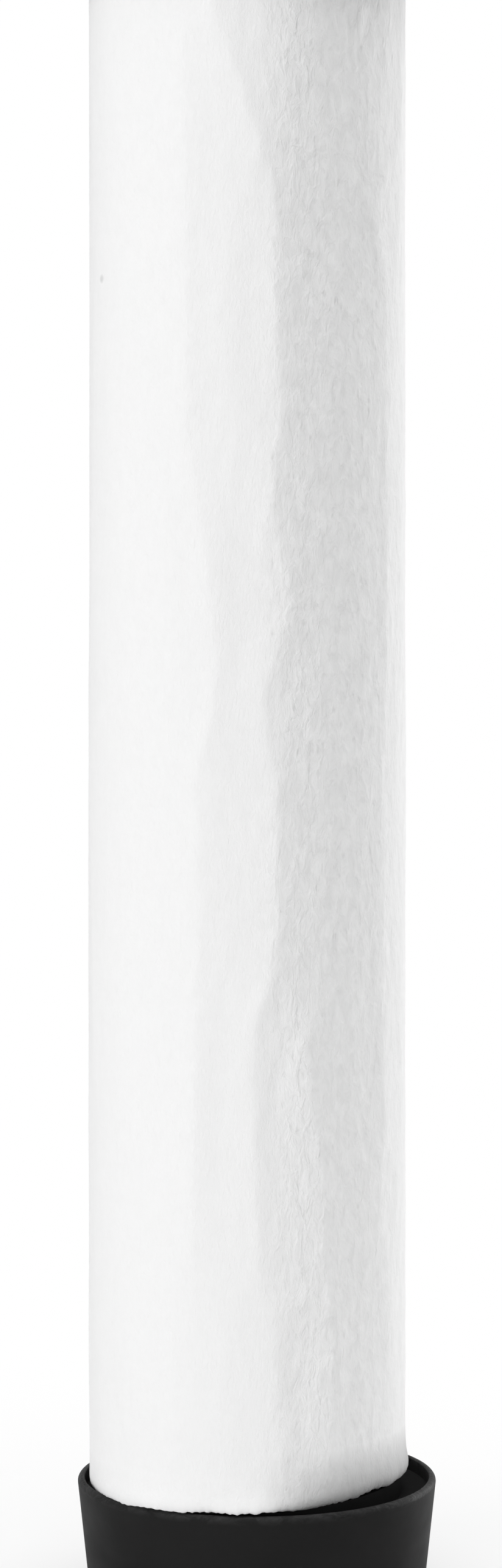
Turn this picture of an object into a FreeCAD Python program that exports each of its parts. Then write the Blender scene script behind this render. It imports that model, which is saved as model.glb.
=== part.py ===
"""Compressed-air filter element: a felt drain sleeve on a pleated pack, potted into two moulded end caps.

Millimetres, +Z up, origin at the centre of the lower cap's foot. The caps share the Z axis. The pack leans
against the inside of their lips, a little to one side of that axis, as it was potted.
"""

import FreeCAD
import Part
import Sketcher
import os
import re

from FreeCAD import Vector

# The driving dimensions, in millimetres and degrees. Every piece takes its size and place from these.
SIZES = {
    # The felt sleeve.
    "sleeve_radius": 30.0,
    "sleeve_thickness": 3.0,
    "sleeve_free_length": 283.7,  # between the two caps' lips
    "hem_height": -0.2,  # the lower hem above the lower lip, on the pack's axis
    "hem_tilt": 3.1,  # degrees; the lower hem was cut a little askew
    "hem_inset": 0.5,  # the upper hem inside the upper lip
    "hem_rounding": 1.2,
    # The pack inside the sleeve.
    "lean_direction": 45.0,  # degrees from -Y towards -X, the way the pack leans in the caps
    "lip_touch": 0.08,  # what is left between the sleeve and the lip where it leans
    "pack_stand": 2.1,  # the pack's ends from the caps' floors, for the adhesive to run under
    "wrap_gap": 0.1,  # between the medium and the fleeces it stands between
    "fleece_thickness": 0.5,
    "support_wall": 0.8,
    "core_radius": 15.3,
    "core_wall": 0.8,
    "pleat_count": 24,
    "medium_thickness": 1.1,
    "crown_half_gap": 0.35,  # half the space inside a fold, at its outer end
    "root_half_gap": 0.25,  # half the space between two folds, at their inner end
    # The windows in the two tubes that carry the medium.
    "window_height": 34.0,
    "window_pitch": 40.0,
    "core_window_width": 12.0,
    "core_window_count": 5,
    "support_window_width": 20.0,
    "support_window_count": 6,
    # The two end caps.
    "cap_height": 22.0,
    "lip_clearance": 2.7,  # between the sleeve and the inside of the lip, all round, before the pack leans
    "cap_taper": 6.2,  # degrees
    "cap_wall": 1.4,
    "cap_floor": 2.5,
    "lip_outer_rounding": 0.9,
    "lip_inner_rounding": 0.3,
    "heel_rounding": 1.5,
    "foot_ring_width": 7.7,
    "foot_recess": 0.8,
    # The potting in the caps.
    "potting_drop": 2.4,  # its surface below the lip
    "potting_shrinkage": 0.03,  # what it draws back from a cap's wall as it cures
    "seat_inset": 0.8,  # the seat under a hem, inside the sleeve's surface
    "seat_root": 1.0,  # the seat's foot below the potting's surface
    # The neck on the upper cap, with its seal.
    "neck_wall": 4.0,
    "neck_height": 16.0,
    "neck_chamfer": 1.0,
    "neck_root_rounding": 1.0,
    "collar_wall": 1.4,
    "collar_clearance": 0.48,  # between the collar and the core where the pack leans
    "collar_stand": 1.0,  # the collar past the potting's surface
    "pilot_length": 5.0,
    "groove_width": 4.0,
    "groove_depth": 2.4,
    "ring_section": 3.0,
}

doc = FreeCAD.newDocument("filter_element")


def make_sheet():
    """The spreadsheet that holds the driving dimensions, one alias each."""
    table = doc.addObject("Spreadsheet::Sheet", "Sizes")
    for row, (name, value) in enumerate(SIZES.items(), start=1):
        table.set(f"A{row}", name)
        table.set(f"B{row}", str(value))
        table.setAlias(f"B{row}", name)
    doc.recompute()
    return table


sheet = make_sheet()


def full(text):
    """An expression with each size's name written as the sheet's cell, such as Sizes.cap_height."""
    return re.sub(r"[a-z_]+", lambda word: f"Sizes.{word[0]}" if word[0] in SIZES else word[0], text)


def value(text):
    """What an expression comes to, as a plain number."""
    return float(sheet.evalExpression(full(text)))


def bind(thing, **properties):
    """Ties properties of an object to expressions in the sizes."""
    for name, text in properties.items():
        thing.setExpression(name, full(text))


def origin_plane(body, role):
    """One of a body's own three planes or axes."""
    return next(item for item in body.Origin.OriginFeatures if item.Role == role)


def new_body(name):
    """A PartDesign body that carries a node's name."""
    body = doc.addObject("PartDesign::Body", name)
    body.Label = name
    return body


def new_sketch(body, name, role):
    """A sketch on one of the body's own planes."""
    sketch = body.newObject("Sketcher::SketchObject", name)
    sketch.AttachmentSupport = [(origin_plane(body, role), "")]
    sketch.MapMode = "FlatFace"
    return sketch


def pin_point(sketch, line, end, across, up):
    """Holds one end of a line at two expressions from the sketch's origin. None leaves that way free.

    In a sketch, -1 and -2 stand for its own two axes, and (-1, 1) for its origin.
    """
    for kind, text, axis in (("DistanceX", across, -2), ("DistanceY", up, -1)):
        if text is None:
            continue
        if text == "0":
            sketch.addConstraint(Sketcher.Constraint("PointOnObject", line, end, axis))
            continue
        number = sketch.addConstraint(Sketcher.Constraint(kind, -1, 1, line, end, value(text)))
        sketch.setExpression(f"Constraints[{number}]", full(text))


def draw_outline(sketch, points, free=()):
    """A closed outline of straight lines through points given as pairs of expressions. Returns the lines.

    A point's number in free leaves it to the sketch's other constraints; (number, "up") only its height.
    """
    places = [Vector(value(across), value(up), 0) for across, up in points]
    lines = [
        sketch.addGeometry(Part.LineSegment(start, places[(number + 1) % len(places)]), False)
        for number, start in enumerate(places)
    ]
    for number, line in enumerate(lines):
        following = lines[(number + 1) % len(lines)]
        sketch.addConstraint(Sketcher.Constraint("Coincident", line, 2, following, 1))
        across, up = points[number]
        if number not in free:
            pin_point(sketch, line, 1, across, None if (number, "up") in free else up)
    return lines


def draw_circle(sketch, radius):
    """A circle round the sketch's origin."""
    circle = sketch.addGeometry(Part.Circle(Vector(0, 0, 0), Vector(0, 0, 1), value(radius)), False)
    sketch.addConstraint(Sketcher.Constraint("Coincident", circle, 3, -1, 1))
    number = sketch.addConstraint(Sketcher.Constraint("Radius", circle, value(radius)))
    sketch.setExpression(f"Constraints[{number}]", full(radius))


def revolve(body, name, points):
    """Turns an outline of (radius, height) round the body's Z axis."""
    sketch = new_sketch(body, name + "_profile", "XZ_Plane")
    draw_outline(sketch, points)
    turned = body.newObject("PartDesign::Revolution", name)
    turned.Profile = sketch
    turned.ReferenceAxis = (sketch, ["V_Axis"])
    turned.Angle = 360
    doc.recompute()
    return turned


def rim_edge(shape, radius, height):
    """The name of the round edge that comes nearest to this radius and height."""
    rims = {
        f"Edge{number}": edge.Curve
        for number, edge in enumerate(shape.Edges, start=1)
        if isinstance(edge.Curve, Part.Circle)
    }
    return min(rims, key=lambda name: abs(rims[name].Radius - radius) + abs(rims[name].Center.z - height))


def round_off(body, name, base, radius, height, rounding):
    """Rounds one rim of a revolved piece."""
    fillet = body.newObject("PartDesign::Fillet", name)
    fillet.Base = (base, [rim_edge(base.Shape, value(radius), value(height))])
    bind(fillet, Radius=rounding)
    doc.recompute()
    body.Tip = fillet
    return fillet


# Heights up the element, and radii through it, from the sizes.
LOWER_LIP = "cap_height"
UPPER_LIP = "(cap_height + sleeve_free_length)"
SHOULDER = "(2 * cap_height + sleeve_free_length)"
NECK_TOP = "(2 * cap_height + sleeve_free_length + neck_height)"
LOWER_POTTING = "(cap_height - potting_drop)"
UPPER_POTTING = "(cap_height + sleeve_free_length + potting_drop)"
UNDER_FLOOR = "(2 * cap_height + sleeve_free_length - cap_floor)"
UPPER_HEM = "(cap_height + sleeve_free_length + hem_inset)"
PACK_BOTTOM = "(cap_floor + pack_stand)"
PACK_LENGTH = "(2 * cap_height + sleeve_free_length - 2 * cap_floor - 2 * pack_stand)"
LEAN = "(lip_clearance - lip_touch)"
SUPPORT_OUTER = "(sleeve_radius - sleeve_thickness)"
SUPPORT_INNER = "(sleeve_radius - sleeve_thickness - support_wall)"
OUTER_FLEECE_INNER = "(sleeve_radius - sleeve_thickness - support_wall - fleece_thickness)"
INNER_FLEECE_OUTER = "(core_radius + fleece_thickness)"
MEDIUM_OUTER = f"({OUTER_FLEECE_INNER} - wrap_gap)"
MEDIUM_INNER = f"({INNER_FLEECE_OUTER} + wrap_gap)"
CORE_INNER = "(core_radius - core_wall)"
SEAT_RADIUS = "(sleeve_radius - seat_inset)"
HALF_FOLD = "(180 / pleat_count)"
CAP_SLOPE = "tan(cap_taper)"
INNER_LIP = "(sleeve_radius + lip_clearance)"
OUTER_LIP = "(sleeve_radius + lip_clearance + cap_wall)"
OUTER_HEEL = f"({OUTER_LIP} - cap_height * {CAP_SLOPE})"
INNER_HEEL = f"({INNER_LIP} - (cap_height - cap_floor) * {CAP_SLOPE})"
INNER_LEVEL = f"({INNER_LIP} - potting_drop * {CAP_SLOPE})"
FOOT_RADIUS = f"({OUTER_HEEL} - foot_ring_width)"
COLLAR_RADIUS = f"({CORE_INNER} - {LEAN} - collar_clearance)"
BORE_RADIUS = f"({COLLAR_RADIUS} - collar_wall)"
NECK_RADIUS = f"({BORE_RADIUS} + neck_wall)"
GROOVE_FLOOR = f"({NECK_RADIUS} - groove_depth)"


def make_lower_cap():
    """The closed cup: a tapered wall that widens to the lip, a floor, and a recess inside the foot ring."""
    body = new_body("lower_end_cap")
    cup = revolve(body, "cup", [
        ("0", "foot_recess"),
        (FOOT_RADIUS, "foot_recess"),
        (FOOT_RADIUS, "0"),
        (OUTER_HEEL, "0"),
        (OUTER_LIP, LOWER_LIP),
        (INNER_LIP, LOWER_LIP),
        (INNER_HEEL, "cap_floor"),
        ("0", "cap_floor"),
    ])
    cup = round_off(body, "lip_outer_edge", cup, OUTER_LIP, LOWER_LIP, "lip_outer_rounding")
    cup = round_off(body, "lip_inner_edge", cup, INNER_LIP, LOWER_LIP, "lip_inner_rounding")
    round_off(body, "heel_edge", cup, OUTER_HEEL, "0", "heel_rounding")
    return body


def make_upper_cap():
    """The same cup turned over, with a bored neck that has the seal's groove, and a collar inside it."""
    body = new_body("upper_end_cap")
    groove_top = f"({NECK_TOP} - pilot_length)"
    groove_bottom = f"({groove_top} - groove_width)"
    collar_end = f"({UPPER_POTTING} - collar_stand)"
    cup = revolve(body, "cup", [
        (BORE_RADIUS, collar_end),
        (COLLAR_RADIUS, collar_end),
        (COLLAR_RADIUS, UNDER_FLOOR),
        (INNER_HEEL, UNDER_FLOOR),
        (INNER_LIP, UPPER_LIP),
        (OUTER_LIP, UPPER_LIP),
        (OUTER_HEEL, SHOULDER),
        (NECK_RADIUS, SHOULDER),
        (NECK_RADIUS, groove_bottom),
        (GROOVE_FLOOR, groove_bottom),
        (GROOVE_FLOOR, groove_top),
        (NECK_RADIUS, groove_top),
        (NECK_RADIUS, f"({NECK_TOP} - neck_chamfer)"),
        (f"({NECK_RADIUS} - neck_chamfer)", NECK_TOP),
        (BORE_RADIUS, NECK_TOP),
    ])
    cup = round_off(body, "lip_outer_edge", cup, OUTER_LIP, UPPER_LIP, "lip_outer_rounding")
    cup = round_off(body, "lip_inner_edge", cup, INNER_LIP, UPPER_LIP, "lip_inner_rounding")
    cup = round_off(body, "heel_edge", cup, OUTER_HEEL, SHOULDER, "heel_rounding")
    round_off(body, "neck_root", cup, NECK_RADIUS, SHOULDER, "neck_root_rounding")
    return body


def make_tube(name, outer, inner, length):
    """A body with a plain tube that stands on the sketch plane."""
    body = new_body(name)
    sketch = new_sketch(body, name + "_section", "XY_Plane")
    draw_circle(sketch, outer)
    draw_circle(sketch, inner)
    tube = body.newObject("PartDesign::Pad", name + "_wall")
    tube.Profile = sketch
    bind(tube, Length=length)
    doc.recompute()
    return body


def cut_windows(body, outer, width, count):
    """Rows of windows through a tube's wall: one is cut, then repeated round the tube and up it."""
    rows = "floor((sleeve_free_length - window_height) / window_pitch)"
    first = f"(({PACK_LENGTH} - {rows} * window_pitch - window_height) / 2)"
    sketch = new_sketch(body, body.Name + "_window", "XZ_Plane")
    draw_outline(sketch, [
        (f"-{width} / 2", first),
        (f"{width} / 2", first),
        (f"{width} / 2", f"{first} + window_height"),
        (f"-{width} / 2", f"{first} + window_height"),
    ])
    window = body.newObject("PartDesign::Pocket", body.Name + "_first_window")
    window.Profile = sketch
    window.Reversed = True
    bind(window, Length=outer)
    doc.recompute()
    windows = body.newObject("PartDesign::MultiTransform", body.Name + "_windows")
    windows.Originals = [window]
    around = body.newObject("PartDesign::PolarPattern", body.Name + "_around")
    around.Axis = (origin_plane(body, "Z_Axis"), [""])
    around.Angle = 360
    bind(around, Occurrences=count)
    upward = body.newObject("PartDesign::LinearPattern", body.Name + "_upward")
    upward.Direction = (origin_plane(body, "Z_Axis"), [""])
    bind(upward, Length=f"{rows} * window_pitch", Occurrences=f"{rows} + 1")
    windows.Transformations = [around, upward]
    body.Tip = windows
    doc.recompute()


def make_medium():
    """The pleated medium: one fold of even thickness is drawn, and repeated until the folds close up."""
    body = new_body("filter_medium")
    sketch = new_sketch(body, "fold", "XY_Plane")

    def beside_root(radius, aside, side):
        """A point at a radius on the plane between two folds, then aside from it into this fold."""
        return (
            f"{radius} * cos{HALF_FOLD} + {aside} * sin{HALF_FOLD}",
            f"{side} * ({radius} * sin{HALF_FOLD} - {aside} * cos{HALF_FOLD})",
        )

    outer_root = f"({MEDIUM_INNER} + medium_thickness)"
    inner_crown = f"({MEDIUM_OUTER} - medium_thickness)"
    wide_crown = "(medium_thickness + crown_half_gap)"
    wide_root = "(medium_thickness + root_half_gap)"
    lines = draw_outline(
        sketch,
        [
            beside_root(outer_root, "0", "-1"),
            beside_root(outer_root, "root_half_gap", "-1"),
            (MEDIUM_OUTER, f"-1 * {wide_crown}"),
            (MEDIUM_OUTER, wide_crown),
            beside_root(outer_root, "root_half_gap", "1"),
            beside_root(outer_root, "0", "1"),
            beside_root(MEDIUM_INNER, "0", "1"),
            beside_root(MEDIUM_INNER, wide_root, "1"),
            (inner_crown, "crown_half_gap"),
            (inner_crown, "-1 * crown_half_gap"),
            beside_root(MEDIUM_INNER, wide_root, "-1"),
            beside_root(MEDIUM_INNER, "0", "-1"),
        ],
        free=((2, "up"), (3, "up"), 7, 10),
    )
    low_root, low_flank, _, high_flank, high_root, _, high_inner_root, high_inner_flank = lines[:8]
    low_inner_flank, low_inner_root = lines[9:11]
    for outside, inside, corner in (
        (high_flank, high_inner_flank, (high_inner_flank, 2)),
        (low_flank, low_inner_flank, (low_inner_flank, 1)),
    ):
        sketch.addConstraint(Sketcher.Constraint("Parallel", outside, inside))
        number = sketch.addConstraint(
            Sketcher.Constraint("Distance", *corner, outside, value("medium_thickness"))
        )
        sketch.setExpression(f"Constraints[{number}]", full("medium_thickness"))
    sketch.addConstraint(Sketcher.Constraint("Parallel", high_root, high_inner_root))
    sketch.addConstraint(Sketcher.Constraint("Parallel", low_root, low_inner_root))
    fold = body.newObject("PartDesign::Pad", "one_fold")
    fold.Profile = sketch
    bind(fold, Length=PACK_LENGTH)
    doc.recompute()
    folds = body.newObject("PartDesign::PolarPattern", "folds")
    folds.Originals = [fold]
    folds.Axis = (origin_plane(body, "Z_Axis"), [""])
    folds.Angle = 360
    bind(folds, Occurrences="pleat_count")
    body.Tip = folds
    doc.recompute()
    return body


def stand(piece, height):
    """Moves a piece of the pack from the drawing's axis to its own, at a height up the element."""
    bind(piece, **{
        "Placement.Base.x": f"-{LEAN} * sin(lean_direction)",
        "Placement.Base.y": f"-{LEAN} * cos(lean_direction)",
        "Placement.Base.z": height,
    })


def cut_above(body, name, left, right, top):
    """Takes away what a body has between a sloping line, given by its height at both sides, and a top."""
    reach = "2 * sleeve_radius"
    sketch = new_sketch(body, name + "_line", "XZ_Plane")
    draw_outline(sketch, [(f"-{reach}", left), (reach, right), (reach, top), (f"-{reach}", top)])
    cut = body.newObject("PartDesign::Pocket", name)
    cut.Profile = sketch
    cut.Midplane = True
    bind(cut, Length=f"2 * {reach}")
    doc.recompute()
    body.Tip = cut
    return cut


def make_sleeve():
    """The felt tube, cut square at the top and a little askew at the bottom, its outer edges puffed."""
    body = make_tube("drain_sleeve", "sleeve_radius", SUPPORT_OUTER, f"{UPPER_HEM} - {LOWER_POTTING}")
    fall = "2 * sleeve_radius * tan(hem_tilt)"
    rise = "potting_drop + hem_height"
    hem = cut_above(body, "hem_cut", f"{rise} - {fall}", f"{rise} + {fall}", "-sleeve_radius")
    edges = [
        f"Edge{number}"
        for number, edge in enumerate(hem.Shape.Edges, start=1)
        if edge.isClosed() and edge.BoundBox.XLength > value("2 * sleeve_radius - 0.5 * sleeve_thickness")
    ]
    puffed = body.newObject("PartDesign::Fillet", "puffed_edges")
    puffed.Base = (hem, edges)
    bind(puffed, Radius="hem_rounding")
    body.Tip = puffed
    stand(body, LOWER_POTTING)
    doc.recompute()
    return body


def make_potting(name, bottom, top, radii, seat, prints):
    """The adhesive cast into a cap: it fills the cavity, seats the hem, and takes the pack's prints."""
    fill = doc.addObject("Part::Cone", name + "_fill")
    narrow, wide = (f"{radius} - potting_shrinkage" for radius in radii)
    bind(fill, Radius1=narrow, Radius2=wide, Height=f"{top} - {bottom}", **{"Placement.Base.z": bottom})
    cast = doc.addObject("Part::Fuse", name + "_cast")
    cast.Base = fill
    cast.Tool = seat
    for piece in prints:
        last = piece == prints[-1]
        printed = doc.addObject("Part::Cut", name if last else f"{name}_less_{piece.Name}")
        printed.Base = cast
        printed.Tool = piece
        cast = printed
    cast.Label = name
    doc.recompute()
    return cast


def make_ring():
    """The seal ring that sits in the neck's groove and stands a little proud of it."""
    ring = doc.addObject("Part::Torus", "neck_seal_ring")
    ring.Label = "neck_seal_ring"
    centre = f"{NECK_TOP} - pilot_length - groove_width / 2"
    bind(ring, Radius1=f"{GROOVE_FLOOR} + ring_section / 2", Radius2="ring_section / 2")
    bind(ring, **{"Placement.Base.z": centre})
    return ring


def export(nodes):
    """Checks that everything was built, and writes each node's shape to its own file."""
    broken = [thing.Name for thing in doc.Objects if {"Invalid", "Error"} & set(thing.State)]
    if broken:
        raise RuntimeError(f"these failed to build: {broken}")
    os.makedirs("parts", exist_ok=True)
    for node in nodes:
        shape = node.Shape
        if shape.isNull() or not shape.isValid() or not shape.Solids:
            raise RuntimeError(f"{node.Label} is not a valid solid")
        shape.exportStep(f"parts/{node.Label}.step")
        print(node.Label, len(shape.Solids), "solid", len(shape.Faces), "faces", round(shape.Volume), "mm3")


lower_cap = make_lower_cap()
upper_cap = make_upper_cap()
core = make_tube("inner_core", "core_radius", CORE_INNER, PACK_LENGTH)
cut_windows(core, "core_radius", "core_window_width", "core_window_count")
support = make_tube("outer_support", SUPPORT_OUTER, SUPPORT_INNER, PACK_LENGTH)
cut_windows(support, SUPPORT_OUTER, "support_window_width", "support_window_count")
inner_fleece = make_tube("inner_fleece", INNER_FLEECE_OUTER, "core_radius", PACK_LENGTH)
outer_fleece = make_tube("outer_fleece", SUPPORT_INNER, OUTER_FLEECE_INNER, PACK_LENGTH)
medium = make_medium()
pack = [core, inner_fleece, medium, outer_fleece, support]
for piece in pack:
    stand(piece, PACK_BOTTOM)
sleeve = make_sleeve()
ring = make_ring()

seat_top = "seat_root + potting_drop + hem_height"
slope = "2 * sleeve_radius * tan(hem_tilt)"
lower_seat = make_tube("lower_seat", SEAT_RADIUS, SUPPORT_OUTER, f"{seat_top} + {slope}")
cut_above(
    lower_seat, "seat_cut", f"{seat_top} - {slope}", f"{seat_top} + {slope}", f"{seat_top} + 2 * {slope}",
)
stand(lower_seat, f"{LOWER_POTTING} - seat_root")
upper_seat = make_tube("upper_seat", SEAT_RADIUS, SUPPORT_OUTER, "potting_drop - hem_inset + seat_root")
stand(upper_seat, UPPER_HEM)
collar_print = doc.addObject("Part::Cylinder", "collar_print")
bind(collar_print, Radius=COLLAR_RADIUS, Height=SHOULDER)
doc.recompute()
lower_radii = (INNER_HEEL, INNER_LEVEL)
upper_radii = (INNER_LEVEL, INNER_HEEL)
lower_potting = make_potting(
    "lower_potting", "cap_floor", LOWER_POTTING, lower_radii, lower_seat, pack,
)
upper_potting = make_potting(
    "upper_potting", UPPER_POTTING, UNDER_FLOOR, upper_radii, upper_seat, [collar_print, *pack],
)
export([lower_cap, lower_potting, *pack, sleeve, upper_potting, upper_cap, ring])
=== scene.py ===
"""The finished look of a compressed-air filter element: a needle-felt sleeve in two moulded black end caps.

The caps, the potting, the seal and the parts inside are the CAD's own solids and get their materials here.
The felt sleeve is a surface worked out with numpy that stands for the CAD's plain one. Lengths in the
tables are in millimetres, angles are in degrees to the right of the front, and meshes are in metres.
"""

import math

import bpy
import numpy as np
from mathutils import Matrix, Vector


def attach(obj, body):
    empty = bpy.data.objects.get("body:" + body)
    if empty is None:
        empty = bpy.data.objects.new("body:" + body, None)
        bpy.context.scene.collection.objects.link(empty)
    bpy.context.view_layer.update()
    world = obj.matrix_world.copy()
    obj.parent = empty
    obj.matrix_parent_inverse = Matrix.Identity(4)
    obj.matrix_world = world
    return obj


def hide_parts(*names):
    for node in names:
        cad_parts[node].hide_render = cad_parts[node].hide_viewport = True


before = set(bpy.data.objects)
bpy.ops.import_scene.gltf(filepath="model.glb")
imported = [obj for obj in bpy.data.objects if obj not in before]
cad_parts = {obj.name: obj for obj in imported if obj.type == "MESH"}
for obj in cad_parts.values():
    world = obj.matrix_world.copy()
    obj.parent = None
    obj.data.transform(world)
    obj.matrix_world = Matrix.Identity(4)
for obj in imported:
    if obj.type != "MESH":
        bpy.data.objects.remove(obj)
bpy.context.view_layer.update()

MM = 0.001

# The element, as the CAD has it.
SLEEVE_RADIUS = 30.0
SLEEVE_BORE = 27.0
PACK_X, PACK_Y = -1.85, -1.85  # the pack's axis, to one side of the caps' axis
LOWER_LIP = 22.0
UPPER_LIP = 305.7
LIP_INSIDE = 32.7  # the radius inside a lip
HEM_HEIGHT = -0.2  # the lower hem above the lower lip, on the pack's axis
HEM_TILT = math.radians(3.1)
UPPER_HEM = UPPER_LIP + 0.5

FLECK = (-28.8 * MM, -15.0 * MM, 248.3 * MM)  # a faint fleck on the left of the sleeve
PITS_PER_METRE = (450, 450, 250)  # needle pits, about 2.2 mm apart across and 4 mm apart up the sleeve
INNER_WALL_DARK_DEPTH = 17.0  # how far below a lip the wall inside the cup is darker


def linear(code):
    """An sRGB hex colour as linear red, green, blue and alpha."""
    parts = [int(code[start:start + 2], 16) / 255 for start in (1, 3, 5)]
    return [part / 12.92 if part <= 0.04045 else ((part + 0.055) / 1.055) ** 2.4 for part in parts] + [1.0]


def add(tree, kind, inputs=None, **settings):
    """Adds a node with its settings, and gives its inputs values or links from other nodes' outputs."""
    made = tree.nodes.new(kind)
    for name, value in settings.items():
        setattr(made, name, value)
    for name, value in (inputs or {}).items():
        if isinstance(value, bpy.types.NodeSocket):
            tree.links.new(value, made.inputs[name])
        else:
            made.inputs[name].default_value = value
    return made


def new_material(name):
    """An empty material, its node tree and its output node."""
    material = bpy.data.materials.new(name)
    material.use_nodes = True
    material.node_tree.nodes.clear()
    return material, material.node_tree, add(material.node_tree, "ShaderNodeOutputMaterial")


def ramp(tree, value, start, end, low, high):
    """A straight change from low to high as a value goes from start to end, held level outside them."""
    return add(tree, "ShaderNodeMapRange", {
        "Value": value,
        "From Min": start,
        "From Max": end,
        "To Min": low,
        "To Max": high,
    }).outputs["Result"]


def mix_colours(tree, share, first, second):
    """A mix of two colours, each a hex colour or another node's output."""
    inputs = {"Factor": share}
    for name, colour in (("A", first), ("B", second)):
        inputs[name] = linear(colour) if isinstance(colour, str) else colour
    mixed = add(tree, "ShaderNodeMix", inputs, data_type="RGBA")
    return next(socket for socket in mixed.outputs if socket.type == "RGBA")


def stretched_noise(tree, across, along, detail=2.0, roughness=0.5, distortion=0.0):
    """Noise on Object coordinates, in lumps about this wide and this long up the element, in mm."""
    place = add(tree, "ShaderNodeTexCoord").outputs["Object"]
    scale = (1 / (across * MM), 1 / (across * MM), 1 / (along * MM))
    laid = add(tree, "ShaderNodeMapping", {"Vector": place, "Scale": scale})
    return add(tree, "ShaderNodeTexNoise", {
        "Vector": laid.outputs["Vector"],
        "Scale": 1.0,
        "Detail": detail,
        "Roughness": roughness,
        "Distortion": distortion,
    }).outputs["Fac"]


def needle_felt():
    """White polyester needle felt: a matt face of small clumps of fibre, with needle pits here and there.

    A fine fibrous grain lies over them. The clumps stand out most on the right, where their bumps are stronger
    and their hollows carry painted shade. Near the lower cap the felt carries painted shade, most of all on
    the right, and it has a faint fleck.
    """
    material, tree, out = new_material("needle_felt")
    place = add(tree, "ShaderNodeTexCoord").outputs["Object"]
    parts = add(tree, "ShaderNodeSeparateXYZ", {"Vector": place}).outputs
    across, upward = parts["X"], parts["Z"]
    # A weight that rises to the right: it sets how strongly the clumps and pits stand out, and the painted
    # shade in their hollows.
    right_side_weight = ramp(tree, across, 0.0, 8 * MM, 0.15, 1.0)
    smoother = ramp(tree, across, 19 * MM, 26 * MM, 1.0, 0.5)
    calmer = ramp(tree, upward, 60 * MM, 150 * MM, 0.8, 1.0)
    for share in (smoother, calmer):
        right_side_weight = add(tree, "ShaderNodeMath", {0: right_side_weight, 1: share}, operation="MULTIPLY").outputs["Value"]
    clumps = stretched_noise(tree, 1.7, 3.6, detail=3.0, roughness=0.6, distortion=0.5)
    fibres = stretched_noise(tree, 0.5, 1.4, detail=2.0, roughness=0.6, distortion=0.8)
    laid = add(tree, "ShaderNodeMapping", {"Vector": place, "Scale": PITS_PER_METRE})
    cells = add(tree, "ShaderNodeTexVoronoi", {"Vector": laid.outputs["Vector"], "Scale": 1.0})
    pits = ramp(tree, cells.outputs["Distance"], 0.06, 0.24, 0.0, 1.0)

    # Painted shade: the hollows between the clumps and the pits are painted a little darker, mostly on the
    # right.
    hollows = ramp(tree, clumps, 0.3, 0.66, 0.9, 0.0)
    holes = ramp(tree, pits, 0.0, 1.0, 0.9, 0.0)
    deep = add(tree, "ShaderNodeMath", {0: hollows, 1: holes}, operation="MAXIMUM").outputs["Value"]
    shaded = add(tree, "ShaderNodeMath", {0: deep, 1: right_side_weight}, operation="MULTIPLY").outputs["Value"]
    colour = mix_colours(tree, shaded, "#F6F6F6", "#EAEAEA")
    # Painted shade: the felt is painted greyer over the last few mm above the lower lip, all round.
    painted_hem_shade = ramp(tree, upward, 21.5 * MM, 28 * MM, 0.3, 0.0)
    colour = mix_colours(tree, painted_hem_shade, colour, "#CACACA")
    # Painted shade: low on the right, beside the hem, the felt is painted darker again.
    beside = ramp(tree, across, 0.0, 18 * MM, 0.0, 1.0)
    near = ramp(tree, upward, 23 * MM, 33 * MM, 1.0, 0.0)
    painted_right_hem_shade = add(tree, "ShaderNodeMath", {0: beside, 1: near}, operation="MULTIPLY").outputs["Value"]
    colour = mix_colours(tree, painted_right_hem_shade, colour, "#A8A8A8")
    away = add(tree, "ShaderNodeVectorMath", {0: place, 1: FLECK}, operation="DISTANCE").outputs["Value"]
    colour = mix_colours(tree, ramp(tree, away, 0.4 * MM, 1.0 * MM, 0.0, 1.0), "#E0E0E0", colour)
    normal = None
    for height, strength, depth in ((clumps, right_side_weight, 0.6), (pits, right_side_weight, 0.12), (fibres, 0.5, 0.2)):
        bump = add(tree, "ShaderNodeBump", {"Height": height, "Strength": strength, "Distance": depth * MM})
        if normal:
            tree.links.new(normal, bump.inputs["Normal"])
        normal = bump.outputs["Normal"]
    shader = add(tree, "ShaderNodeBsdfPrincipled", {
        "Base Color": colour,
        "Normal": normal,
        "Roughness": 0.95,
        "Specular IOR Level": 0.15,
    })
    tree.links.new(shader.outputs["BSDF"], out.inputs["Surface"])
    return material


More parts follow.
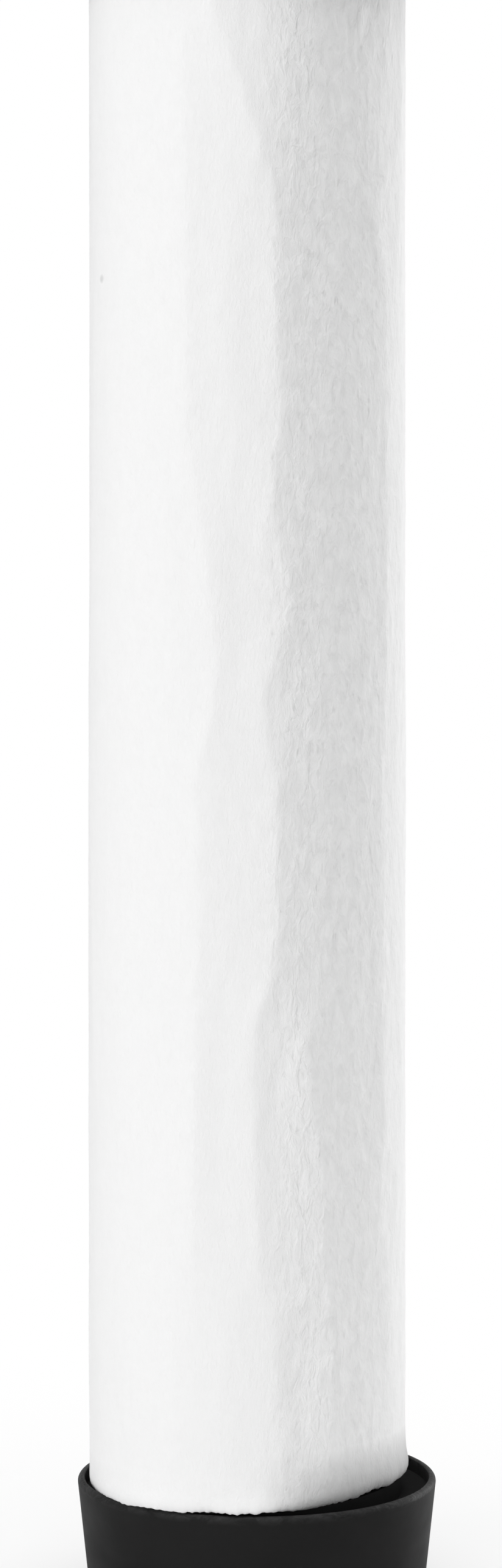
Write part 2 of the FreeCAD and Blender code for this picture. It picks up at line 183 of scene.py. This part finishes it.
def moulded_nylon():
    """Black glass-filled nylon, injection moulded: matt, with a faint orange peel from the fibres in it.

    Round the two lips it is scuffed paler and uneven, where they were handled as the adhesive was poured,
    and the wall inside the cups is darker, from just below a lip down some way.
    """
    material, tree, out = new_material("moulded_nylon")
    place = add(tree, "ShaderNodeTexCoord").outputs["Object"]
    upward = add(tree, "ShaderNodeSeparateXYZ", {"Vector": place}).outputs["Z"]

    # Both caps are alike, so heights are measured from the middle between the two lips.
    middle = (LOWER_LIP + UPPER_LIP) / 2 * MM
    from_middle = add(tree, "ShaderNodeMath", {0: upward, 1: middle}, operation="SUBTRACT").outputs["Value"]
    from_middle = add(tree, "ShaderNodeMath", {0: from_middle}, operation="ABSOLUTE").outputs["Value"]
    half = (UPPER_LIP - LOWER_LIP) / 2 * MM
    lip = ramp(tree, from_middle, half + 0.4 * MM, half + 1.6 * MM, 1.0, 0.0)
    smears = stretched_noise(tree, 3.2, 1.6, detail=3.0, roughness=0.6, distortion=0.8)
    patches = ramp(tree, smears, 0.42, 0.66, 0.0, 1.0)
    scuffed = add(tree, "ShaderNodeMath", {0: lip, 1: patches}, operation="MULTIPLY").outputs["Value"]
    flat = add(tree, "ShaderNodeVectorMath", {0: place, 1: (1, 1, 0)}, operation="MULTIPLY")
    radius = add(tree, "ShaderNodeVectorMath", {0: flat.outputs["Vector"]}, operation="LENGTH").outputs["Value"]
    # The wall inside each cup is darker, from just below the lip down to INNER_WALL_DARK_DEPTH.
    darker_inside = ramp(tree, radius, (LIP_INSIDE + 0.05) * MM, (LIP_INSIDE + 0.25) * MM, 1.0, 0.0)
    sunk = ramp(tree, from_middle, half + 0.3 * MM, half + 1.5 * MM, 0.0, 1.0)
    shallow = ramp(tree, from_middle, half + INNER_WALL_DARK_DEPTH * MM, half + (INNER_WALL_DARK_DEPTH + 1) * MM, 1.0, 0.0)
    for share in (sunk, shallow):
        darker_inside = add(tree, "ShaderNodeMath", {0: darker_inside, 1: share}, operation="MULTIPLY").outputs["Value"]
    base = mix_colours(tree, darker_inside, mix_colours(tree, scuffed, "#191919", "#2C2C2C"), "#161616")
    peel = stretched_noise(tree, 0.6, 0.6, detail=2.0)
    handled = stretched_noise(tree, 14.0, 9.0, detail=3.0)
    uneven = add(tree, "ShaderNodeBump", {"Height": smears, "Strength": lip, "Distance": 0.3 * MM})
    bumps = add(tree, "ShaderNodeBump", {
        "Height": peel,
        "Strength": 0.2,
        "Distance": 0.06 * MM,
        "Normal": uneven.outputs["Normal"],
    })
    shader = add(tree, "ShaderNodeBsdfPrincipled", {
        "Base Color": base,
        "Roughness": ramp(tree, handled, 0.3, 0.7, 0.55, 0.7),
        "Normal": bumps.outputs["Normal"],
        "IOR": 1.52,
        "Specular IOR Level": 0.1,
    })
    tree.links.new(shader.outputs["BSDF"], out.inputs["Surface"])
    return material


def plain_finish(name, colour, roughness, level=0.4, grain=None):
    """A plain material of one colour, with a fine grain of this size in mm where one is given."""
    material, tree, out = new_material(name)
    shader = add(tree, "ShaderNodeBsdfPrincipled", {
        "Base Color": linear(colour),
        "Roughness": roughness,
        "IOR": 1.5,
        "Specular IOR Level": level,
    })
    if grain:
        noise = stretched_noise(tree, grain, grain, detail=2.0)
        bumps = add(tree, "ShaderNodeBump", {"Height": noise, "Strength": 0.3, "Distance": grain * MM / 6})
        tree.links.new(bumps.outputs["Normal"], shader.inputs["Normal"])
    tree.links.new(shader.outputs["BSDF"], out.inputs["Surface"])
    return material


def dress(node, material):
    """Gives a CAD node one material all over."""
    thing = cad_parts[node]
    if not thing.material_slots:
        thing.data.materials.append(material)
    for slot in thing.material_slots:
        slot.material = material


# The soft creases of the felt. A line is (height, angle) points up the sleeve.
MAIN_CREASE = [
    (20, 14), (36, 13.2), (46, 9.9), (56, 9.9), (63, 4.8), (76, 3.5), (103, 2.2), (113, 3.5), (119, 7.8),
    (127, 10.8), (143, 10.8), (156, 10.1), (164, 7.1), (171, 5.2), (182, 11.4), (188, 15), (194, 14),
    (202, 9), (211, 9), (225, 12.1), (247, 9.5), (260, 9.5), (267, 7.1), (274, 2.9), (282, -2),
    (295, -11.8), (306, -14),
]
SECOND_CREASE = [
    (20, 33), (42, 30.7), (55, 30.7), (69, 27.3), (75, 28), (90, 26.6), (98, 23), (108, 21), (130, 17),
]
LEFT_CREASE = [
    (20, -19), (101, -18.7), (137, -16.9), (156, -18.2), (165, -13.2), (176, -10.5), (185, -11.8),
    (200, -15.6), (221, -21.6), (257, -21.6), (306, -24),
]
RIGHT_CREASE = [
    (20, 60), (56, 61), (74, 55), (93, 57), (152, 56), (184, 59), (247, 58.5),
    (254, 54.5), (261, 50), (269, 61), (275, 72), (306, 74),
]
CREASES = [
    # line, height of the crest, width of the flank to the left and to the right, lowest and highest end
    (MAIN_CREASE, 0.72, 7.0, 8.0, 100, 312),
    (MAIN_CREASE, 0.4, 7.0, 5.0, 20, 114),
    (SECOND_CREASE, 0.85, 7.5, 5.5, 22, 116),
    (LEFT_CREASE, 0.42, 7.0, 6.0, 60, 300),
    (RIGHT_CREASE, 0.32, 5.0, 5.0, 40, 300),
    ([(20, 118), (90, 112), (160, 120), (230, 115), (306, 122)], 0.5, 7.0, 8.0, 20, 300),
    ([(20, -75), (80, -70), (150, -78), (240, -72), (306, -76)], 0.12, 6.0, 6.0, 40, 290),
    ([(20, -128), (120, -134), (200, -126), (306, -131)], 0.45, 8.0, 7.0, 20, 312),
    ([(20, 172), (100, 178), (190, 170), (306, 176)], 0.5, 7.0, 7.0, 20, 312),
]
CREASE_FADE = 14  # the length over which a crease fades in or out at its ends
CREASE_WANDER = 0.3  # how far a crease strays from its line
CREST_ROUNDING = 0.3

SWELLINGS = [
    # angle and height of the middle, width, tallness, size
    (85, 23.6, 20, 3.0, 0.9),  # the puffed end on the right
    (3, 22.3, 7, 2.4, 2.2),  # over the lip in front
    (-34, 22.3, 15, 2.4, 2.0),  # over the lip at the front left
    (21, 60, 5, 2.2, 0.4),
]
HEM_LIFTS = [
    # angle, width in degrees, height
    (-37, 35, 1.35),
    (4, 10, 0.3),
    (27, 7, -0.4),
    (55, 15, 0.3),
]
HEM_RAGS = [
    # height, seed, the fewest and the most waves round the sleeve
    (0.12, 11, (6, 18)),
    (0.06, 12, (24, 70)),
    (0.07, 14, (70, 150)),
]


def ripples(angle, height, seed, waves, longest):
    """A sum of cosines that go whole numbers of times round the sleeve and climb it, scaled to about one."""
    random = np.random.default_rng(seed)
    total = np.zeros_like(angle)
    count = 14
    for _ in range(count):
        turns = random.integers(waves[0], waves[1])
        climb = random.uniform(-1, 1) * 2 * math.pi / longest
        total += np.cos(turns * angle + climb * height + random.uniform(0, 2 * math.pi))
    return total / math.sqrt(count)


def wander(height, seed, shortest, longest):
    """A sum of cosines in the height, with wavelengths between two lengths, scaled to about one."""
    random = np.random.default_rng(seed)
    total = np.zeros_like(height)
    count = 7
    for _ in range(count):
        length = random.uniform(shortest, longest)
        total += np.cos(2 * math.pi * height / length + random.uniform(0, 2 * math.pi))
    return total / math.sqrt(count)


def round_from(angle, middle):
    """How far an angle lies from another one, along the sleeve's face in mm."""
    return ((angle - middle + math.pi) % (2 * math.pi) - math.pi) * SLEEVE_RADIUS


def crease(angle, height, line, crest, left, right, low, high):
    """A ridge along a line that wanders a little, and that fades in and out at its ends.

    Each flank falls as the square of what is left of its width, which makes the round sleeve nearly flat.
    """
    heights, angles = np.array(line, dtype=float).T
    middle = np.radians(np.interp(height, heights, angles))
    seed = int(low + left * 7 + crest * 100)
    aside = round_from(angle, middle) + CREASE_WANDER * wander(height, seed, 5, 14)
    away = (np.sqrt(aside**2 + CREST_ROUNDING**2) - CREST_ROUNDING) / np.where(aside < 0, left, right)
    ends = np.clip((height - low) / CREASE_FADE, 0, 1) * np.clip((high - height) / CREASE_FADE, 0, 1)
    return crest * np.clip(1 - away, 0, 1) ** 2 * ends


def swelling(angle, height, middle, level, wide, tall, size):
    """A round swelling: a Gaussian in the distance round the sleeve and up it."""
    aside = round_from(angle, math.radians(middle))
    return size * np.exp(-(aside / wide) ** 2 - ((height - level) / tall) ** 2)


def felt_relief(angle, height):
    """How far the felt's face stands from a true cylinder: slow ripples, the creases and the swellings.

    The finest ripples are weaker on the left, by a smooth step in the sine of the angle.
    """
    relief = 0.10 * ripples(angle, height, 3, (2, 7), 160) + 0.05 * ripples(angle, height, 5, (8, 22), 40)
    right_side_weight = 0.4 + 0.6 / (1 + np.exp(-12 * (np.sin(angle) - 0.1)))
    relief = relief + right_side_weight * 0.04 * ripples(angle, height, 7, (20, 60), 11)
    for line in CREASES:
        relief = relief + crease(angle, height, *line)
    for place in SWELLINGS:
        relief = relief + swelling(angle, height, *place)
    return relief


def lower_hem(angle):
    """The height of the lower hem round the sleeve.

    It is a plane that climbs to the right, with Gaussian lifts and a dip and a slightly ragged cut. At the
    left and the middle lift the felt lies over the lip.
    """
    across = SLEEVE_RADIUS * np.sin(angle)
    ragged, lifts = 0, 0
    for size, seed, waves in HEM_RAGS:
        ragged = ragged + size * ripples(angle, 0 * angle, seed, waves, 100)
    for middle, wide, size in HEM_LIFTS:
        lifts = lifts + size * np.exp(-(((angle - math.radians(middle)) / math.radians(wide)) ** 2))
    return LOWER_LIP + HEM_HEIGHT + across * math.tan(HEM_TILT) + ragged + lifts


def felt_sleeve():
    """The sleeve as one closed surface, made of bands of points that each go once round it.

    They go up the outer face, round the upper hem, down the bore and round the lower hem. The outer face is
    a cylinder plus felt_relief, and each hem is a quarter of a superellipse from face to end.
    """
    columns, rows, roll_steps = 440, 200, 8
    angle = np.linspace(-math.pi, math.pi, columns, endpoint=False)
    low = lower_hem(angle)
    wall = SLEEVE_RADIUS - SLEEVE_BORE
    cut = SLEEVE_BORE + 0.3 * wall  # a ring on each cut end, which keeps 0.3 of the relief

    # How far the lower hem is rolled in, which is less where it rests on the lip at the front left.
    resting = np.exp(-(((angle + math.radians(34)) / math.radians(28)) ** 2))
    rolled = 1.5 - resting + 0.12 * ripples(angle, 0 * angle, 13, (9, 30), 100)
    roll, corner = 3.0, 1.4  # the height of that roll, and the rounding of the upper hem
    turn = np.linspace(0, math.pi / 2, roll_steps)
    bands = []
    for quarter in turn:
        inset = rolled * (1 - math.sin(quarter))
        rise = roll * (1 - math.cos(quarter))
        bands.append((low + rise, SLEEVE_RADIUS - inset, 1.0))
    for part in np.linspace(0, 1, rows)[1:-1]:
        bands.append((low + roll + (UPPER_HEM - corner - low - roll) * part, SLEEVE_RADIUS, 1.0))
    for quarter in turn[::-1]:
        inset = corner * (1 - math.sin(quarter))
        rise = corner * (1 - math.cos(quarter))
        bands.append((UPPER_HEM - rise + 0 * low, SLEEVE_RADIUS - inset, 1.0))
    bands.append((UPPER_HEM + 0 * low, cut, 0.3))
    bands.append((UPPER_HEM + 0 * low, SLEEVE_BORE, 0.0))
    for part in (0.25, 0.5, 0.75):
        bands.append((UPPER_HEM + (low - UPPER_HEM) * part, SLEEVE_BORE, 0.0))
    bands.append((low, SLEEVE_BORE, 0.0))
    bands.append((low, cut, 0.3))
    height = np.array([band[0] for band in bands])
    radius = np.array([band[1] + 0 * low for band in bands])
    share = np.array([[band[2]] for band in bands])
    around = np.broadcast_to(angle, height.shape)
    radius = radius + share * felt_relief(around, height)
    points = np.stack([
        PACK_X + radius * np.sin(around),
        PACK_Y - radius * np.cos(around),
        height,
    ], axis=-1).reshape(-1, 3) * MM
    band, column = np.meshgrid(np.arange(len(bands)), np.arange(columns), indexing="ij")
    above, beside = (band + 1) % len(bands), (column + 1) % columns
    faces = np.stack([
        band * columns + column,
        band * columns + beside,
        above * columns + beside,
        above * columns + column,
    ], axis=-1).reshape(-1, 4)
    mesh = bpy.data.meshes.new("needle_felt_sleeve")
    mesh.vertices.add(len(points))
    mesh.vertices.foreach_set("co", points.ravel())
    mesh.loops.add(faces.size)
    mesh.loops.foreach_set("vertex_index", faces.ravel())
    mesh.polygons.add(len(faces))
    mesh.polygons.foreach_set("loop_start", np.arange(0, faces.size, 4))
    mesh.update(calc_edges=True)
    mesh.shade_smooth()
    mesh.validate()
    sleeve = bpy.data.objects.new("needle_felt_sleeve", mesh)
    bpy.context.scene.collection.objects.link(sleeve)
    return sleeve


sleeve = felt_sleeve()
sleeve.data.materials.append(needle_felt())
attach(sleeve, "root")
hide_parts("drain_sleeve")

nylon = moulded_nylon()
potting = plain_finish("cast_polyurethane", "#242424", 0.6, 0.0, grain=2.5)
fleece = plain_finish("spunbonded_fleece", "#EEEEEC", 0.95, 0.2, grain=0.4)
for node, material in {
    "lower_end_cap": nylon,
    "upper_end_cap": nylon,
    "lower_potting": potting,
    "upper_potting": potting,
    "neck_seal_ring": plain_finish("nitrile_rubber", "#181818", 0.45, 0.5),
    "inner_core": plain_finish("grey_polypropylene", "#5A5A5A", 0.5),
    "inner_fleece": fleece,
    "outer_fleece": fleece,
    "filter_medium": plain_finish("glass_microfibre", "#F0EFEA", 0.95, 0.2, grain=0.8),
    "outer_support": plain_finish("natural_polypropylene", "#E4E4E2", 0.5),
}.items():
    dress(node, material)


def studio_floor():
    """A pale round floor: white paper near the element, to keep its shadow, and plain white beyond."""
    rings = (0.08, 0.2, 0.45, 0.9)  # radii in metres
    steps = 96
    level = -0.1 * MM  # just under the foot, so that the two faces don't share a plane
    turns = np.linspace(0, 2 * math.pi, steps, endpoint=False)
    points = [(size * math.cos(turn), size * math.sin(turn), level) for size in rings for turn in turns]
    points.append((0.0, 0.0, level))
    faces = [(len(points) - 1, step, (step + 1) % steps) for step in range(steps)]
    for ring in range(len(rings) - 1):
        for step in range(steps):
            start, after = ring * steps + step, ring * steps + (step + 1) % steps
            faces.append((start, start + steps, after + steps, after))
    mesh = bpy.data.meshes.new("studio_floor")
    mesh.from_pydata(points, [], faces)
    floor = bpy.data.objects.new("studio_floor", mesh)
    bpy.context.scene.collection.objects.link(floor)
    material, tree, out = new_material("white_paper")
    place = add(tree, "ShaderNodeTexCoord").outputs["Object"]
    reach = add(tree, "ShaderNodeVectorMath", {0: place}, operation="LENGTH").outputs["Value"]
    far = add(tree, "ShaderNodeMapRange", {
        "Value": reach,
        "From Min": 0.07,
        "From Max": 0.22,
        "To Min": 0.6,
        "To Max": 1.0,
    }, interpolation_type="SMOOTHSTEP").outputs["Result"]
    seen = add(tree, "ShaderNodeLightPath").outputs["Is Camera Ray"]
    blend = add(tree, "ShaderNodeMath", {0: far, 1: seen}, operation="MULTIPLY").outputs["Value"]
    paper = add(tree, "ShaderNodeBsdfDiffuse", {"Color": linear("#F4F4F4")})
    white = add(tree, "ShaderNodeEmission", {"Color": linear("#FFFFFF"), "Strength": 1.0})
    mixed = add(tree, "ShaderNodeMixShader", {
        "Fac": blend,
        1: paper.outputs["BSDF"],
        2: white.outputs["Emission"],
    })
    tree.links.new(mixed.outputs["Shader"], out.inputs["Surface"])
    floor.data.materials.append(material)
    return floor


studio_floor()


def softbox(name, place, target, wide, tall, power):
    """A rectangular lamp that faces a point."""
    lamp = bpy.data.lights.new(name, "AREA")
    lamp.shape = "RECTANGLE"
    lamp.size, lamp.size_y, lamp.energy = wide, tall, power
    holder = bpy.data.objects.new(name, lamp)
    holder.location = place
    holder.rotation_euler = (Vector(target) - Vector(place)).to_track_quat("-Z", "Y").to_euler()
    bpy.context.scene.collection.objects.link(holder)


middle = (0.0, 0.0, 0.17)
softbox("window_left", (-0.90, -0.63, 0.35), middle, 0.5, 0.9, 4.5)
softbox("card_right", (1.06, 0.28, 0.35), middle, 0.5, 0.9, 2.1)
softbox("card_behind", (0.78, 0.78, 0.35), middle, 0.5, 0.9, 4.8)
softbox("fill_front", (0.01, -1.10, 0.35), middle, 0.5, 0.9, 0.8)
softbox("bank_above", (0.0, -0.15, 1.3), middle, 0.9, 0.9, 11.6)

# A white world, at full strength where it is seen, mirrored or seen through, and softer as a light.
world = bpy.data.worlds.new("white_studio")
bpy.context.scene.world = world
world.use_nodes = True
world.node_tree.nodes.clear()
tree = world.node_tree
rays = add(tree, "ShaderNodeLightPath").outputs
shown = rays["Is Camera Ray"]
for ray in ("Is Glossy Ray", "Is Transmission Ray"):
    shown = add(tree, "ShaderNodeMath", {0: shown, 1: rays[ray]}, operation="MAXIMUM").outputs["Value"]
level = ramp(tree, shown, 0.0, 1.0, 0.3, 1.0)
background = add(tree, "ShaderNodeBackground", {"Color": linear("#FFFFFF"), "Strength": level})
add(tree, "ShaderNodeOutputWorld", {"Surface": background.outputs["Background"]})

# The camera stands level in front of the pack's axis, and its shift frames the lower cap.
CAMERA_AWAY, CAMERA_HEIGHT = 0.731, 0.1952  # metres
camera = bpy.data.cameras.new("camera")
camera.sensor_fit = "AUTO"
camera.sensor_width = 36.0
camera.lens = 88.4
camera.shift_x = 0.0025
camera.shift_y = -0.1405
camera.clip_start, camera.clip_end = 0.01, 10.0
viewer = bpy.data.objects.new("camera", camera)
viewer.location = (PACK_X * MM, PACK_Y * MM - CAMERA_AWAY, CAMERA_HEIGHT)
viewer.rotation_euler = (math.radians(90), 0, 0)
bpy.context.scene.collection.objects.link(viewer)
bpy.context.scene.camera = viewer
bpy.context.scene.view_settings.view_transform = "Standard"
